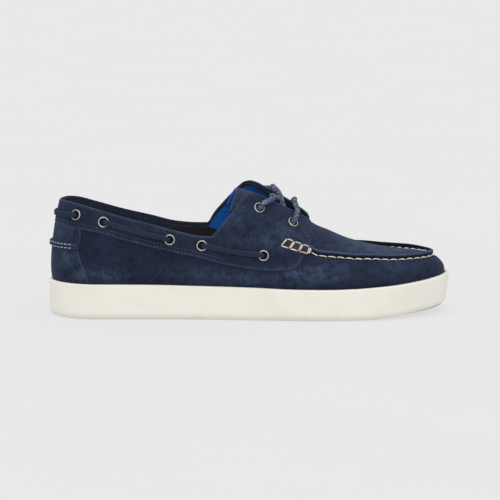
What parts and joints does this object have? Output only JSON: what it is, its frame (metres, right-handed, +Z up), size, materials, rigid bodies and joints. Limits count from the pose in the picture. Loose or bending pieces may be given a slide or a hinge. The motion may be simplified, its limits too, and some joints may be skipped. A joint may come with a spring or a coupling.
{
  "type": "boat shoe",
  "caption": "Low boat shoe for the right foot: suede upper with a raised moccasin seam, collar lacing, eyelets and an off-white rubber cupsole, standing empty and unbent.",
  "frame": {"origin": "on the ground under the middle of the shoe's length and width", "axes": "+X from heel to toe, +Y to the medial (inner) side, +Z up"},
  "size_m": [0.3, 0.1031, 0.0969],
  "materials": {
    "navy_suede": "matt napped suede",
    "saddle_suede": "matt napped suede",
    "counter_suede": "matt napped suede",
    "tab_suede": "matt napped suede",
    "tongue_suede": "matt napped suede",
    "off_white_rubber": "smooth satin",
    "footbed": "matt",
    "eyelet_metal": "antique",
    "side_lace_leather": "matt",
    "lace_cord": "woven cord"
  },
  "bodies": {
    "root": {"cupsole": "off_white_rubber", "insole": "footbed", "upper": "navy_suede", "saddle": "saddle_suede", "heel_counter": "counter_suede", "heel_tab": "tab_suede", "tongue": "tongue_suede", "lace": "lace_cord", "side_lace_heel": "side_lace_leather", "side_lace_lateral_rear": "side_lace_leather", "side_lace_lateral_front": "side_lace_leather", "eyelet_lateral_heel": "eyelet_metal", "eyelet_lateral_collar_rear": "eyelet_metal", "eyelet_lateral_collar_middle": "eyelet_metal", "eyelet_lateral_collar_front": "eyelet_metal", "eyelet_lateral_saddle": "eyelet_metal", "eyelet_lateral_throat_rear": "eyelet_metal", "eyelet_lateral_throat_front": "eyelet_metal", "side_lace_medial_rear": "side_lace_leather", "side_lace_medial_front": "side_lace_leather", "eyelet_medial_heel": "eyelet_metal", "eyelet_medial_collar_rear": "eyelet_metal", "eyelet_medial_collar_middle": "eyelet_metal", "eyelet_medial_collar_front": "eyelet_metal", "eyelet_medial_saddle": "eyelet_metal", "eyelet_medial_throat_rear": "eyelet_metal", "eyelet_medial_throat_front": "eyelet_metal"}
  },
  "joints": []
}
